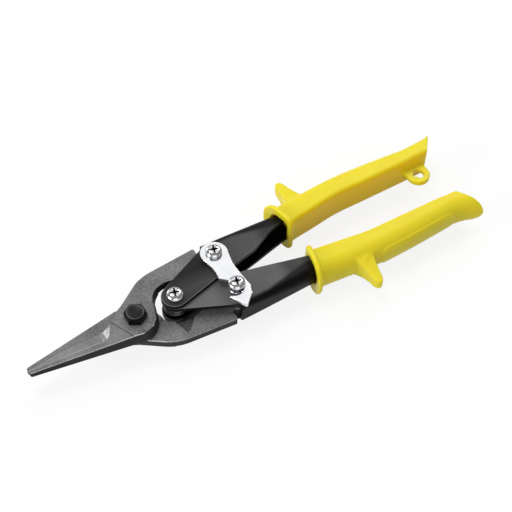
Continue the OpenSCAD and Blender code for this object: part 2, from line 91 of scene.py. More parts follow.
# camera, at the photograph's viewing angle
cameraView = {
    "azimuth": -30.4, "elevation": 52.95,  # degrees
    "aim": (57.9, 0, 0), "distance": 579,  # mm from the jaw bolt
    "lens": 81.26, "sensor": 36, "shift": (0.0330, 0.0363), "clipStart": 0.01,
}
azimuth, elevation = math.radians(cameraView["azimuth"]), math.radians(cameraView["elevation"])
level = math.cos(elevation)
towards = Vector((math.sin(azimuth) * level, -math.cos(azimuth) * level, math.sin(elevation)))
camera = bpy.data.objects.new("camera", bpy.data.cameras.new("camera"))
bpy.context.scene.collection.objects.link(camera)
camera.location = place(*cameraView["aim"]) + towards * cameraView["distance"] * 0.001
camera.rotation_euler = towards.to_track_quat("Z", "Y").to_euler()
camera.data.lens = cameraView["lens"]
camera.data.sensor_width = cameraView["sensor"]
camera.data.shift_x, camera.data.shift_y = cameraView["shift"]
camera.data.clip_start = cameraView["clipStart"]
bpy.context.scene.camera = camera
bpy.context.scene.view_settings.view_transform = "Standard"
print("camera set")


# materials
def linear(code):  # sRGB hex to linear colour
    parts = [int(code[i:i + 2], 16) / 255 for i in (1, 3, 5)]
    return [p / 12.92 if p <= 0.04045 else ((p + 0.055) / 1.055) ** 2.4 for p in parts] + [1]


def addNode(tree, kind, settings=None, links=None):  # a node with its settings and what feeds it
    node = tree.nodes.new(kind)
    for key, value in (settings or {}).items():
        if isinstance(key, int) or key in node.inputs:
            node.inputs[key].default_value = value
        else:
            setattr(node, key, value)
    for key, socket in (links or {}).items():
        tree.links.new(socket, node.inputs[key])
    return node


def startMaterial(name, settings):
    material = bpy.data.materials.new(name)
    material.use_nodes = True
    tree = material.node_tree
    tree.nodes.clear()
    shader = addNode(tree, "ShaderNodeBsdfPrincipled", settings)
    addNode(tree, "ShaderNodeOutputMaterial", None, {"Surface": shader.outputs["BSDF"]})
    coords = addNode(tree, "ShaderNodeTexCoord").outputs["Object"]
    return material, tree, shader, coords


def feedShader(tree, shader, colour, rough, bump):  # what every finish ends with
    tree.links.new(colour.outputs[2], shader.inputs["Base Color"])
    tree.links.new(rough.outputs[0], shader.inputs["Roughness"])
    tree.links.new(bump.outputs[0], shader.inputs["Normal"])


def perMetre(mm):  # pattern scale for a feature of that many millimetres
    return 1000 / mm


# drop-forged steel, shot-blasted and phosphated: matt grey with a fine pitted grain and cloudy scale
def forgedSteel(name, dark, light, roughness, metallic):
    material, tree, shader, coords = startMaterial(name, {"Metallic": metallic, "Specular IOR Level": 0.3})
    grain = addNode(tree, "ShaderNodeTexNoise", {
        "Scale": perMetre(0.7), "Detail": 3, "Roughness": 0.6}, {"Vector": coords})
    cloud = addNode(tree, "ShaderNodeTexNoise", {"Scale": perMetre(14), "Detail": 3}, {"Vector": coords})
    both = addNode(tree, "ShaderNodeMath", {"operation": "MULTIPLY_ADD", 1: 2.4}, {
        0: grain.outputs["Fac"], 2: cloud.outputs["Fac"]})  # the grain counts for more than the cloud
    level = addNode(tree, "ShaderNodeMapRange", {"From Min": 1.2, "From Max": 2.2}, {"Value": both.outputs[0]})
    colour = addNode(tree, "ShaderNodeMix", {
        "data_type": "RGBA", 6: linear(dark), 7: linear(light)}, {0: level.outputs[0]})
    rough = addNode(tree, "ShaderNodeMapRange", {
        "To Min": roughness - 0.08, "To Max": roughness + 0.1}, {"Value": grain.outputs["Fac"]})
    bump = addNode(tree, "ShaderNodeBump", {"Strength": 0.35, "Distance": 0.00012}, {"Height": grain.outputs["Fac"]})
    feedShader(tree, shader, colour, rough, bump)
    return material


# where the coat gets its painted sheen, in the frame's metres: flat faces, from the tool's axis out to the bends
coatSheen = {
    "across": (0.0195, 0.0168), "taperAlong": (-0.0038, 0.0202), "taper": 0.005,  # narrower towards the grips
    "fadeAlong": (0.0042, 0.0132), "fadeTo": 0.4,                                 # and weaker
    "armAlong": (-0.018, -0.026), "armAcross": (-0.006, 0.009),                   # painted shade where the latch lies over the arm
    "facing": (0.8, 0.99), "channel": 0.0044, "cloud": (-0.9, 0.7),               # nothing inside the channel
}


# black powder coat on pressed sheet: satin, with a faint orange peel, and a lighter painted sheen on the flat flanges,
# held back by painted shade where the latch lies over the arm
def powderCoat(name, dark, light, latchShade):
    material, tree, shader, coords = startMaterial(name, {"IOR": 1.5, "Specular IOR Level": 0.13})
    peel = addNode(tree, "ShaderNodeTexNoise", {"Scale": perMetre(0.8), "Detail": 2}, {"Vector": coords})
    cloud = addNode(tree, "ShaderNodeTexNoise", {"Scale": perMetre(20), "Detail": 3}, {"Vector": coords})
    axes = addNode(tree, "ShaderNodeSeparateXYZ", None, {0: coords})
    fromAxis = addNode(tree, "ShaderNodeMath", {"operation": "ABSOLUTE"}, {0: axes.outputs["Y"]})
    taper = addNode(tree, "ShaderNodeMapRange", {
        "From Min": coatSheen["taperAlong"][0], "From Max": coatSheen["taperAlong"][1],
        "To Max": coatSheen["taper"]}, {"Value": axes.outputs["X"]})
    across = addNode(tree, "ShaderNodeMath", {"operation": "ADD"}, {0: fromAxis.outputs[0], 1: taper.outputs[0]})
    inner = addNode(tree, "ShaderNodeMapRange", {
        "From Min": coatSheen["across"][0], "From Max": coatSheen["across"][1],
        "interpolation_type": "SMOOTHSTEP"}, {"Value": across.outputs[0]})
    fade = addNode(tree, "ShaderNodeMapRange", {
        "From Min": coatSheen["fadeAlong"][0], "From Max": coatSheen["fadeAlong"][1],
        "To Min": 1, "To Max": coatSheen["fadeTo"], "interpolation_type": "SMOOTHSTEP"}, {"Value": axes.outputs["X"]})
    # painted shade where the latch lies over the upper arm
    onArm = addNode(tree, "ShaderNodeMapRange", {
        "From Min": coatSheen["armAlong"][0], "From Max": coatSheen["armAlong"][1],
        "To Max": latchShade}, {"Value": axes.outputs["X"]})
    acrossLatchShade = addNode(tree, "ShaderNodeMapRange", {
        "From Min": coatSheen["armAcross"][0], "From Max": coatSheen["armAcross"][1]}, {"Value": fromAxis.outputs[0]})
    black = addNode(tree, "ShaderNodeMath", {"operation": "MULTIPLY"}, {0: onArm.outputs[0], 1: acrossLatchShade.outputs[0]})
    outsideLatchShade = addNode(tree, "ShaderNodeMath", {"operation": "SUBTRACT", 0: 1}, {1: black.outputs[0]})
    normal = addNode(tree, "ShaderNodeTexCoord").outputs["Normal"]
    facing = addNode(tree, "ShaderNodeSeparateXYZ", None, {0: normal})
    steep = addNode(tree, "ShaderNodeMath", {"operation": "ABSOLUTE"}, {0: facing.outputs["Z"]})
    flat = addNode(tree, "ShaderNodeMapRange", {
        "From Min": coatSheen["facing"][0], "From Max": coatSheen["facing"][1]}, {"Value": steep.outputs[0]})
    inChannel = addNode(tree, "ShaderNodeMath", {
        "operation": "COMPARE", 1: boltAt.z, 2: coatSheen["channel"]}, {0: axes.outputs["Z"]})
    # painted sheen: lighter on flat faces, fading towards the grips, none inside the channel
    sheen = addNode(tree, "ShaderNodeMapRange", {
        "From Min": coatSheen["cloud"][0], "From Max": coatSheen["cloud"][1]}, {"Value": cloud.outputs["Fac"]})
    for share in (inner, fade, outsideLatchShade, flat):
        sheen = addNode(tree, "ShaderNodeMath", {"operation": "MULTIPLY"}, {0: sheen.outputs[0], 1: share.outputs[0]})
    sheen = addNode(tree, "ShaderNodeMath", {"operation": "SUBTRACT", "use_clamp": True}, {
        0: sheen.outputs[0], 1: inChannel.outputs[0]})
    colour = addNode(tree, "ShaderNodeMix", {
        "data_type": "RGBA", 6: linear(dark), 7: linear(light)}, {0: sheen.outputs[0]})
    rough = addNode(tree, "ShaderNodeMapRange", {"To Min": 0.26, "To Max": 0.42}, {"Value": peel.outputs["Fac"]})
    bump = addNode(tree, "ShaderNodeBump", {"Strength": 0.2, "Distance": 0.00008}, {"Height": peel.outputs["Fac"]})
    feedShader(tree, shader, colour, rough, bump)
    return material


# soft PVC, dip-moulded: glossy, a little light in its depth, slightly uneven in colour, and with painted shade:
# a deeper colour on the inner sides
def dippedVinyl(name, deep, bright, shadedSide):
    material, tree, shader, coords = startMaterial(name, {
        "IOR": 1.52, "Specular IOR Level": 0.12, "Subsurface Weight": 0.6,
        "Subsurface Radius": (1.0, 0.45, 0.08), "Subsurface Scale": 0.006})
    cloud = addNode(tree, "ShaderNodeTexNoise", {"Scale": perMetre(22), "Detail": 2}, {"Vector": coords})
    skin = addNode(tree, "ShaderNodeTexNoise", {"Scale": perMetre(2.2), "Detail": 2}, {"Vector": coords})
    colour = addNode(tree, "ShaderNodeMix", {
        "data_type": "RGBA", 6: linear(deep), 7: linear(bright)}, {0: cloud.outputs["Fac"]})
    axes = addNode(tree, "ShaderNodeSeparateXYZ", None, {0: coords})
    half = addNode(tree, "ShaderNodeMath", {"operation": "SIGN"}, {0: axes.outputs["Y"]})  # side of the tool's length
    normal = addNode(tree, "ShaderNodeTexCoord").outputs["Normal"]
    facing = addNode(tree, "ShaderNodeSeparateXYZ", None, {0: normal})
    outward = addNode(tree, "ShaderNodeMath", {"operation": "MULTIPLY"}, {0: half.outputs[0], 1: facing.outputs["Y"]})
    # painted shade: a deeper colour on the sides that face inward
    innerSideShade = addNode(tree, "ShaderNodeMapRange", {
        "From Min": -0.2, "From Max": -0.9, "interpolation_type": "SMOOTHSTEP"}, {"Value": outward.outputs[0]})
    colour = addNode(tree, "ShaderNodeMix", {
        "data_type": "RGBA", 7: linear(shadedSide)}, {0: innerSideShade.outputs[0], 6: colour.outputs[2]})
    rough = addNode(tree, "ShaderNodeMapRange", {"To Min": 0.24, "To Max": 0.36}, {"Value": skin.outputs["Fac"]})
    bump = addNode(tree, "ShaderNodeBump", {"Strength": 0.08, "Distance": 0.0002}, {"Height": skin.outputs["Fac"]})
    feedShader(tree, shader, colour, rough, bump)
    return material


# plated or blackened steel parts: smooth metal with hair scratches and a breath of handling haze
def platedSteel(name, dark, light, roughness):
    material, tree, shader, coords = startMaterial(name, {"Metallic": 1})
    haze = addNode(tree, "ShaderNodeTexNoise", {"Scale": perMetre(5), "Detail": 4}, {"Vector": coords})
    grit = addNode(tree, "ShaderNodeTexNoise", {"Scale": perMetre(0.6), "Detail": 3}, {"Vector": coords})
    colour = addNode(tree, "ShaderNodeMix", {
        "data_type": "RGBA", 6: linear(dark), 7: linear(light)}, {0: haze.outputs["Fac"]})
    rough = addNode(tree, "ShaderNodeMapRange", {
        "To Min": roughness * 0.7, "To Max": roughness * 1.4}, {"Value": haze.outputs["Fac"]})
    bump = addNode(tree, "ShaderNodeBump", {"Strength": 0.06, "Distance": 0.00006}, {"Height": grit.outputs["Fac"]})
    feedShader(tree, shader, colour, rough, bump)
    return material


bladeSteel = forgedSteel("phosphated forged steel", "#565656", "#8a8a8a", 0.6, 0.4)
# worn rims and ridges, and a painted highlight on the jaw bevel's steep run-out
wornAndHighlitSteel = forgedSteel("worn forged steel with painted highlight", "#acacac", "#d2d2d2", 0.4, 0.8)
# painted shade: the blades' walls darker than their faces
wallShadeSteel = forgedSteel("forged steel with painted wall shade", "#1c1c1c", "#383838", 0.6, 0.3)
# the ground bevel, and the tangs' worn rims with a painted highlight
groundAndHighlitSteel = forgedSteel("ground steel and painted rim highlight", "#7e7e7e", "#a4a4a4", 0.4, 0.8)
shadeSteel = forgedSteel("darker forged steel of the tang facet", "#343434", "#606060", 0.6, 0.4)
# each coat's light colour is a painted sheen on the flat flanges
blackCoat = powderCoat("black powder coat", "#0a0a0b", "#535354", 0.9)
# the lower handle's copy, with a lighter painted sheen and no painted latch shade
lighterSheenCoat = powderCoat("powder coat with lighter painted sheen", "#0a0a0b", "#686869", 0)
# on the broken edges: worn coat with a painted edge highlight
wornAndHighlitCoat = powderCoat("worn powder coat with painted edge highlight", "#0c0c0d", "#8a8a8b", 0)
# its last colour is painted shade on the grips' inner sides
yellowVinyl = dippedVinyl("dipped yellow vinyl", "#e7d52a", "#f1e238", "#f2d41e")
chrome = platedSteel("bright chrome plate", "#d2d3d5", "#e4e5e7", 0.14)
zinc = platedSteel("zinc plate", "#7f8184", "#a4a6a8", 0.32)
blackOxide = platedSteel("black oxide steel", "#18181a", "#303031", 0.34)
# worn rim of the bolt's face with a painted highlight
wornAndHighlitOxide = platedSteel("worn black oxide with painted highlight", "#3e3e3f", "#585859", 0.3)
# painted shade inside the screws' cross recesses
recessShade = platedSteel("plated recess with painted shade", "#2a2a2b", "#4e4e50", 0.4)
springSteel = platedSteel("oiled spring wire", "#48484a", "#6c6c6e", 0.13)
print("materials made")


# shared making of pieces
samePoint = 1e-6  # metres


def newObject(name, bm, materials):
    mesh = bpy.data.meshes.new(name)
    bm.to_mesh(mesh)
    bm.free()
    for material in materials:
        mesh.materials.append(material)
    thing = bpy.data.objects.new(name, mesh)
    bpy.context.scene.collection.objects.link(thing)
    return thing


def finishPiece(bm, name, body, materials, replaced, sharp=38):
    piece = newObject(name, bm, materials)
    piece.data.shade_smooth()
    piece.data.set_sharp_from_angle(angle=math.radians(sharp))
    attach(piece, body)
    for nodeName in replaced:
        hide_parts(nodeName)
    return piece


def evenNormals(piece):
    modifier = piece.modifiers.new("even normals", "WEIGHTED_NORMAL")
    modifier.keep_sharp = True
    modifier.mode = "FACE_AREA_WITH_ANGLE"


def baked(thing):  # what the object's modifiers make of it; the object itself goes
    bm = bmesh.new()
    bm.from_mesh(bpy.data.meshes.new_from_object(thing.evaluated_get(bpy.context.evaluated_depsgraph_get())))
    bpy.data.objects.remove(thing)
    return bm


def onlyVerts(geometry):
    return [g for g in geometry if isinstance(g, bmesh.types.BMVert)]


def firstRing(bm, points, closed):
    ring = [bm.verts.new(p) for p in points]
    for a, b in zip(ring, ring[1:] + (ring[:1] if closed else [])):
        bm.edges.new((a, b))
    return ring


def nextRing(bm, ring, points):  # extrudes a ring of vertices and sets it on the given points
    index = {v: i for i, v in enumerate(ring)}
    edges = dict.fromkeys(e for v in ring for e in v.link_edges if e.other_vert(v) in index and len(e.link_faces) < 2)
    made = bmesh.ops.extrude_edge_only(bm, edges=list(edges))
    fresh = [None] * len(ring)
    for v in onlyVerts(made["geom"]):
        old = next(e.other_vert(v) for e in v.link_edges if e.other_vert(v) in index)
        v.co = points[index[old]]
        fresh[index[old]] = v
    return fresh


# blades: painted shade on the walls, a ground bevel with a painted highlight on its steep run-out, and worn rims with a
# painted highlight
bladeShape = {
    "edge": 0.38, "edgeSteps": 3, "edgeLimit": 22,               # broken edges: width in mm, steps, least angle
    "jawTo": -8, "tangFrom": 8, "facetFrom": 14,                 # mm along the tool from the bolt
    "wall": 0.5, "runOut": 0.87, "bevel": 0.95, "facet": 0.998,  # how far each looks up or down at most; 1 is level
    "flat": 0.7, "ridgeLength": 10, "rimHeight": 1.5,            # least for a flat face, a ridge and a rim's wall
}


def fromBolt(x):  # millimetres along the tool
    return (x - boltAt.x) * 1000


def forgedFinish(face):  # of a blade's face, before its edges are broken
    level, along = abs(face.normal.z), fromBolt(face.calc_center_median().x)
    if level < bladeShape["wall"]:
        # painted shade on the walls
        return wallShadeSteel
    if level < bladeShape["bevel"] and along < bladeShape["jawTo"]:
        # ground bevel, and a painted highlight on its steeper run-out
        return groundAndHighlitSteel if level > bladeShape["runOut"] else wornAndHighlitSteel
    if level < bladeShape["facet"] and along > bladeShape["facetFrom"]:
        return shadeSteel  # sunk facet of the tang, in a darker steel
    return bladeSteel


def isRidge(edge):  # long, on the jaw, between two faces that both look up or down
    onJaw = max(fromBolt(v.co.x) for v in edge.verts) < bladeShape["jawTo"]
    level = min(abs(f.normal.z) for f in edge.link_faces)
    return onJaw and level > bladeShape["flat"] and edge.calc_length() * 1000 > bladeShape["ridgeLength"]


def isRim(edge):  # between a flat face and a high enough wall
    walls = [f for f in edge.link_faces if abs(f.normal.z) < bladeShape["flat"]]
    heights = [max(v.co.z for v in f.verts) - min(v.co.z for v in f.verts) for f in walls]
    return len(walls) == 1 and heights[0] * 1000 > bladeShape["rimHeight"]


def breadth(face):
    return face.calc_area() / max(e.calc_length() for e in face.edges)


# copied CAD nodes: metres that are one point, degrees that are one plane, width of a crease's edge against a rim's
cadMesh = {"weld": 2e-6, "flatten": 0.6, "creaseShare": 0.5}


def softened(nodeName, materials, width, steps, limit=30):  # copy of a CAD node with its edges broken
    forged = len(materials) > 1  # only the blades have several finishes
    bm = bmesh.new()
    bm.from_mesh(nodes[nodeName].data)
    bmesh.ops.remove_doubles(bm, verts=bm.verts, dist=cadMesh["weld"])
    bmesh.ops.dissolve_limit(bm, angle_limit=math.radians(cadMesh["flatten"]), verts=bm.verts, edges=bm.edges)
    if forged:
        for face in bm.faces:
            face.material_index = materials.index(forgedFinish(face))
    bevelled = set()
    for rim in (True, False):  # long outer rims and ridges first, worn lighter with a painted highlight, then small steps and creases
        offset = width * (1 if rim else cadMesh["creaseShare"]) * 0.001
        edges = [e for e in bm.edges if len(e.link_faces) == 2 and e.calc_face_angle() > math.radians(limit)
                 and not bevelled.intersection(e.link_faces) and (isRim(e) or isRidge(e) or not rim)
                 and min(map(breadth, e.link_faces)) > 2 * offset]
        made = bmesh.ops.bevel(bm, geom=edges, offset=offset, offset_type="OFFSET", affect="EDGES",
                               segments=steps, profile=0.5, material=-1, clamp_overlap=False)
        bevelled.update(made["faces"])
        # rim faces: worn lighter with a painted highlight, mid-bright on the tang
        if rim and forged:
            for face in made["faces"]:
                onTang = fromBolt(face.calc_center_median().x) > bladeShape["tangFrom"]
                face.material_index = materials.index(groundAndHighlitSteel if onTang else wornAndHighlitSteel)
    piece = finishPiece(bm, nodeName + "_piece", nodes[nodeName]["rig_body"], materials, [nodeName])
    evenNormals(piece)


for nodeName in ("upper_blade", "lower_blade"):
    softened(nodeName, [bladeSteel, wornAndHighlitSteel, wallShadeSteel, groundAndHighlitSteel, shadeSteel],
             bladeShape["edge"], bladeShape["edgeSteps"], bladeShape["edgeLimit"])
print("blades done")


# handles, pressed from sheet: tight bends at the front that open to a half round at the grip
handleShape = {
    "sheet": 2.0, "half": 6.25, "middle": 1.05,  # thickness, half height, middle above the shear plane
    "web": (50, 21.5, 0.2),                      # a point on the outer face and its slope in degrees
    # station and outer radius of the bends
    "rows": [(47.2, 2.3), (52, 2.5), (58, 2.9), (64, 3.4), (70, 4.0), (73, 4.3), (76, 4.6), (79.5, 4.9),
             (83, 5.3), (88, 5.7), (93, 6.0), (106, 6.0)],
    # free edges of the two flanges; the first lies on top in the upper handle and below in the lower one
    "freeEdgeTop": [(47.2, -0.4), (70, 4.9), (76, 8.0), (83, 11.4), (93, 13.8), (125, 14.7)],
    "freeEdge": [(47.2, -0.4), (72, 5.3), (82, 7.9), (93, 10.5), (125, 14.7)],
    "armRadius": 6.9, "flangeSteps": 4, "bendSteps": 10, "armSteps": 28,
    "edge": 0.45, "edgeSteps": 3, "edgeLimit": 50,
}


def channelRow(x, bend, shape):
    web = shape["web"][1] + (x - shape["web"][0]) * math.tan(math.radians(shape["web"][2]))
    half, middle, steps = shape["half"], shape["middle"], shape["flangeSteps"]
    angles = [math.radians(90 * i / shape["bendSteps"]) for i in range(shape["bendSteps"] + 1)]
    arc = [(web - bend + bend * math.sin(a), half - bend + bend * math.cos(a)) for a in angles]
    flanges = []
    for edge in ("freeEdgeTop", "freeEdge"):
        free = between(shape[edge], x)
        flanges.append([(free + (web - bend - free) * i / steps, half) for i in range(steps)] + arc)
    return [(x, y, middle + z) for y, z in flanges[0]] + [(x, y, middle - z) for y, z in reversed(flanges[1])]


def pressedHandle(name, body, side, coat, shape):
    bm = bmesh.new()
    rows = [[place(*p, side) for p in channelRow(x, bend, shape)] for x, bend in shape["rows"]]
    front = ring = firstRing(bm, rows[0], False)
    for row in rows[1:]:
        ring = nextRing(bm, ring, row)
    centre, radius = Vector(handleScrewAt), shape["armRadius"]
    count, steps = shape["flangeSteps"] + 1, shape["armSteps"]
    for flange, z in ((front[:count], shape["half"]), (front[-count:][::-1], -shape["half"])):
        ends = []
        for v, turn in ((flange[-1], 1), (flange[0], -1)):  # where the arm's edges touch its round end
            rel = Vector(((v.co.x - boltAt.x) * 1000, side * (v.co.y - boltAt.y) * 1000)) - centre
            ends.append(math.atan2(rel.y, rel.x) + turn * math.acos(radius / rel.length))
        ends[1] += 2 * math.pi
        arc = [ends[0] + (ends[1] - ends[0]) * i / steps for i in range(steps + 1)]
        outline = [place(centre.x + radius * math.cos(a), centre.y + radius * math.sin(a), shape["middle"] + z, side)
                   for a in arc]
        bm.faces.new(list(flange) + [bm.verts.new(p) for p in outline])
    bmesh.ops.recalc_face_normals(bm, faces=bm.faces)
    web = max(bm.faces, key=lambda f: side * f.calc_center_median().y)
    if web.normal.y * side < 0:
        bmesh.ops.reverse_faces(bm, faces=bm.faces)
    piece = finishPiece(bm, name + "_piece", body, [coat, wornAndHighlitCoat], [name], sharp=40)
    sheet = piece.modifiers.new("sheet", "SOLIDIFY")
    sheet.thickness = shape["sheet"] * 0.001
    sheet.offset = -1
    sheet.use_even_offset = True
    edge = piece.modifiers.new("broken edges", "BEVEL")
    edge.width = shape["edge"] * 0.001
    edge.segments = shape["edgeSteps"]
    edge.limit_method = "ANGLE"
    edge.angle_limit = math.radians(shape["edgeLimit"])
    edge.material = 1  # the worn coat with a painted edge highlight
    edge.use_clamp_overlap = False
    evenNormals(piece)


pressedHandle("upper_handle", "upper_lever", 1, blackCoat, handleShape)
pressedHandle("lower_handle", "lower_lever", -1, lighterSheenCoat, handleShape)
print("handles done")


# grips: dipped sleeve with a rim, a thumb stop, a raised panel, a flared end and, on the upper one, a hanging ring
gripShape = {
    # station, inner face, outer face, half height, radius of the outer corners
    "rows": [(93, 8.9, 24.67, 9.05, 7.6), (108, 10.87, 25.89, 9.25, 7.6), (125, 13.1, 26.96, 9.25, 7.4),
             (142, 13.23, 26.68, 9.05, 7.2), (159, 13.37, 25.7, 8.95, 7.0), (172, 13.47, 24.8, 8.95, 7.0)],
    "middle": 1.05, "loopStep": 3, "innerCorner": 2.2, "rimCorner": 3.4, "innerSteps": 5, "outerSteps": 12,
    "rimAt": 92, "rimHeight": 2.7, "rimInner": 1.8, "rimLength": 2.6, "rimLean": -0.2,
    "rimEase": 0.6, "rimEdge": 0.5, "mouthEase": 0.4, "rimFoot": (0.3, 0.9),  # foot: length, share of the lean
    "pocket": (10.3, 22.3, 6.7, 6.2), "pocketDepth": 5,  # section of the mouth that takes the handle
    # flared end, 1 for the upper grip: station, growth of the outer face, lean of the section
    "end": {1: [(174.5, 0.15, 0.1), (177, 0.65, 0.36), (179.2, 1.3, 0.57), (181, 2.1, 0.71), (182.3, 2.9, 0.8)],
            -1: [(173.2, 0.2, 0.1), (174.6, 1.0, 0.32), (176.3, 2.3, 0.48), (178, 3.6, 0.58), (179.6, 4.1, 0.64)]},
    "endInner": 0.4, "endCorner": 1.9,  # draw-in of the inner face and most growth of the corners along it
    "cap": (1.1, 1.8, 1, 1.2, 0.4),     # last ring: step, then how far the four sizes of the section shrink
    "thumbAt": {1: 104.4, -1: 116.1},
    # side view of the thumb stop: along from its place, out from the sleeve
    "thumb": [(-5.4, -5.5), (-4.3, 0), (-3.1, 3.2), (-2.6, 7), (-2.4, 11.6), (-1.7, 13.5), (-0.3, 14.4),
              (1.3, 13.9), (2.3, 12), (3.1, 7), (3.8, 3.2), (4.6, 0.2), (6.4, -5.5)],
    "thumbHalf": (8.6, 6, 0.6),  # half height at the foot, narrowing to the tip, power of its curve
    "ringAt": (173.7, 8.27), "ringRadius": 6.2, "ringHole": 3.1, "ringThick": 3, "ringReach": 6.4, "ringSteps": 72,
    # the panel is narrower on the upper grip, whose outline is plain in the photograph
    "panelAt": (126, 172.5), "panelHalf": {1: 5.0, -1: 6.2}, "panelCorner": 4, "panelRise": 0.5,
    "panelSlope": 0.7, "panelFacing": 0.3,
    "grain": 0.36, "ease": 5,  # size of the mesh in mm after the pieces are melted together, passes of smoothing
}


def gripLoop(x, inner, outer, half, radius, lean, small, shape):
    few, many = shape["innerSteps"], shape["outerSteps"]
    corners = [  # centre, radius, first and last angle, steps
        (inner + small, half - small, small, 180, 90, few), (outer - radius, half - radius, radius, 90, 0, many),
        (outer - radius, radius - half, radius, 0, -90, many), (inner + small, small - half, small, 270, 180, few)]
    loop = []
    for cy, cz, r, a, b, n in corners:
        for i in range(n + 1):
            angle = math.radians(a + (b - a) * i / n)
            loop.append((cy + r * math.cos(angle), cz + r * math.sin(angle)))
    return [(x + lean * (y - inner), y, shape["middle"] + z) for y, z in loop]


def smoothRow(rows, x):  # smooth curve through the rows
    i = max(k for k in range(len(rows) - 1) if rows[k][0] <= x or k == 0)
    a, b = rows[i], rows[i + 1]
    before, after = rows[max(i - 1, 0)], rows[min(i + 2, len(rows) - 1)]
    w = b[0] - a[0]
    t = (x - a[0]) / w
    values = []
    for c in range(1, 5):
        s0, s1 = (b[c] - before[c]) / (b[0] - before[0]) * w, (after[c] - a[c]) / (after[0] - a[0]) * w
        d = b[c] - a[c]
        values.append(a[c] + t * (s0 + t * (3 * d - 2 * s0 - s1 + t * (s0 + s1 - 2 * d))))
    return values


def grow(row, inner, outer):
    return [row[0] - inner, row[1] + outer, row[2] + outer, row[3] + outer]


def addSleeve(bm, side, shape):
    first, last, end = shape["rows"][0][1:], shape["rows"][-1][1:], shape["end"][side]
    rim, lean, start = grow(first, shape["rimInner"], shape["rimHeight"]), shape["rimLean"], shape["rimAt"]
    pocket, mouth, edge, ease = shape["pocket"], shape["mouthEase"], shape["rimEdge"], shape["rimEase"]
    small, large = shape["innerCorner"], shape["rimCorner"]
    back = start + shape["rimLength"]
    foot, footLean = shape["rimFoot"]
    loops = [  # station, section, lean, radius of the inner corners
        (start + shape["pocketDepth"], pocket, lean, small), (start + mouth, pocket, lean, small),
        (start, grow(pocket, mouth, mouth), lean, small), (start, grow(rim, -ease, -ease), lean, large),
        (start + edge, rim, lean, large), (back - edge, rim, lean, large),
        (back, grow(rim, -ease, -ease), lean, large), (back + foot, first, lean * footLean, small)]
    step = shape["loopStep"]
    for x in range(start + 2 * step, shape["rows"][-1][0], step):
        loops.append((x, smoothRow(shape["rows"], x), 0, small))
    for x, flare, lean in end:
        corner = last[3] + min(flare, shape["endCorner"])
        loops.append((x, [last[0] + shape["endInner"], last[1] + flare, last[2], corner], lean, small))
    x, flare, lean = end[-1]
    along, inner, outer, half, corner = shape["cap"]
    loops.append((x + along, [last[0] + inner, last[1] + flare - outer, last[2] - half, last[3] - corner], lean, small))
    points = [[place(*p, side) for p in gripLoop(x, *row, lean, corner, shape)] for x, row, lean, corner in loops]
    front = ring = firstRing(bm, points[0], True)
    for row in points[1:]:
        ring = nextRing(bm, ring, row)
    bm.faces.new(front)
    bm.faces.new(ring)


def addThumbStop(bm, side, shape):
    at = shape["thumbAt"][side]
    outer = smoothRow(shape["rows"], at)[1]
    outline = [(at + along, outer + out) for along, out in shape["thumb"]]
    low, high = outline[0][1], max(y for x, y in outline)
    foot, narrowing, power = shape["thumbHalf"]
    face = bm.faces.new([bm.verts.new(place(x, y, 0, side)) for x, y in outline])
    made = bmesh.ops.extrude_face_region(bm, geom=[face])
    for verts, sign in ((list(face.verts), -1), (onlyVerts(made["geom"]), 1)):
        for v in verts:
            share = min(1, max(0, (side * (v.co.y - boltAt.y) * 1000 - low) / (high - low)))
            v.co.z = place(0, 0, shape["middle"] + sign * side * (foot - narrowing * share ** power), side).z


def addHangRing(bm, side, shape):  # flat tab, square where it grows from the sleeve and round about its hole
    x, y = shape["ringAt"]
    half, radius, reach, steps = shape["ringThick"] / 2, shape["ringRadius"], shape["ringReach"], shape["ringSteps"]
    angles = [math.radians(360 * i / steps) for i in range(steps)]
    hole, outer = [shape["ringHole"]] * steps, []
    for a in angles:
        across, up = max(abs(math.cos(a)), 0.01), max(math.sin(a), 0.01)  # never quite nothing
        outer.append(min(radius / across, reach / up) if math.sin(a) > 0 else radius)
    walls = [(hole, -half), (hole, half), (outer, half), (outer, -half), (hole, -half)]
    rows = [[place(x + r * math.cos(a), y + r * math.sin(a), shape["middle"] + z, side) for r, a in zip(radii, angles)]
            for radii, z in walls]
    ring = firstRing(bm, rows[0], True)
    fresh = list(ring)
    for row in rows[1:]:
        ring = nextRing(bm, ring, row)
        fresh += ring
    bmesh.ops.remove_doubles(bm, verts=fresh, dist=samePoint)


def meltTogether(bm, size, passes):  # closed shapes that lap become one skin, as the dip leaves them
    bmesh.ops.recalc_face_normals(bm, faces=bm.faces)
    scratch = newObject("melt", bm, [])
    skin = scratch.modifiers.new("skin", "REMESH")
    skin.mode = "VOXEL"
    skin.voxel_size = size * 0.001
    ease = scratch.modifiers.new("ease", "SMOOTH")
    ease.factor = 0.5
    ease.iterations = passes
    return baked(scratch)


def raisePanel(bm, side, shape):  # shallow moulded pad on the outer face, with a rounded outline
    (x0, x1), half, corner = shape["panelAt"], shape["panelHalf"][side], shape["panelCorner"]
    bm.normal_update()
    for v in bm.verts:
        at = (v.co - boltAt) * 1000
        along = abs(at.x - (x0 + x1) / 2) - (x1 - x0) / 2 + corner
        across = abs(side * at.z - shape["middle"]) - half + corner
        inside = corner - math.hypot(max(along, 0), max(across, 0))
        if side * v.normal.y > shape["panelFacing"] and inside > 0:
            v.co += v.normal * min(1, inside / shape["panelSlope"]) * shape["panelRise"] * 0.001


def dippedGrip(name, body, side, hanging, shape):
    bm = bmesh.new()
    addSleeve(bm, side, shape)
    addThumbStop(bm, side, shape)
    if hanging:
        addHangRing(bm, side, shape)
    bm = meltTogether(bm, shape["grain"], shape["ease"])
    raisePanel(bm, side, shape)
    finishPiece(bm, name + "_piece", body, [yellowVinyl], [name], sharp=180)


